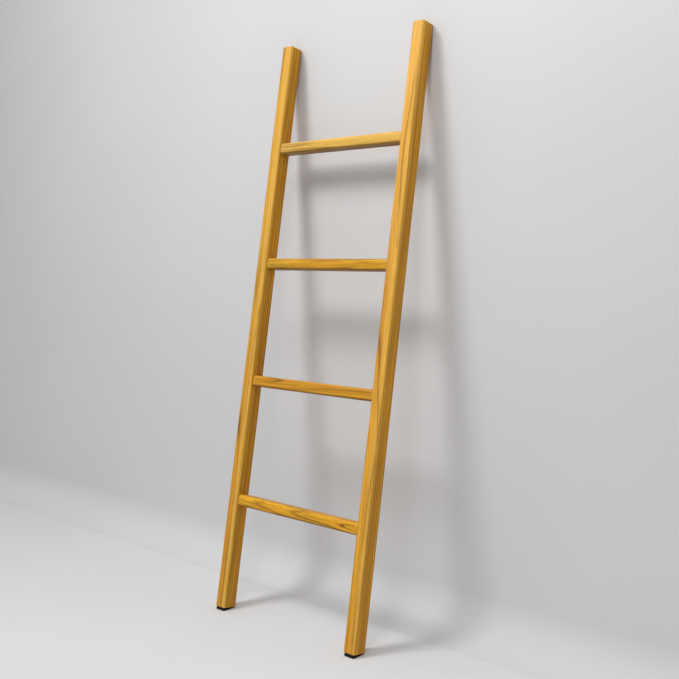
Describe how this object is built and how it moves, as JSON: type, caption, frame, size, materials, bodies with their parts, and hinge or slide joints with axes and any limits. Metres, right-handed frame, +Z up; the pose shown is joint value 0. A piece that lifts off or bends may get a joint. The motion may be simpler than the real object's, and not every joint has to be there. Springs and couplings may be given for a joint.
{
  "type": "leaning ladder rack",
  "caption": "Leaning wooden ladder rack: square side rails with softly rounded rungs tenoned between them, rubber feet and wall pads, for draping quilts, blankets or towels.",
  "frame": {"origin": "on the floor, at the centre of the rack's footprint in its leaning pose", "axes": "+Z up, +Y towards the wall that the rack leans on, +X to the right of someone who faces the wall"},
  "size_m": [0.4826, 0.3, 1.5095],
  "materials": {
    "rail_teak": "satin oiled teak, grain along the rail",
    "rung_teak": "satin oiled teak, grain along the rung",
    "pin_teak": "end grain, sanded flush",
    "foot_rubber": "matt black",
    "wall_felt": "dense dark felt"
  },
  "bodies": {
    "root": {"left_rail": "rail_teak", "right_rail": "rail_teak", "rung_1": "rung_teak", "rung_2": "rung_teak", "rung_3": "rung_teak", "rung_4": "rung_teak", "foot_pad_left": "foot_rubber", "foot_pad_right": "foot_rubber", "wall_pad_left": "wall_felt", "wall_pad_right": "wall_felt", "pin_left_1": "pin_teak", "pin_left_2": "pin_teak", "pin_left_3": "pin_teak", "pin_left_4": "pin_teak", "pin_right_1": "pin_teak", "pin_right_2": "pin_teak", "pin_right_3": "pin_teak", "pin_right_4": "pin_teak"}
  },
  "joints": []
}
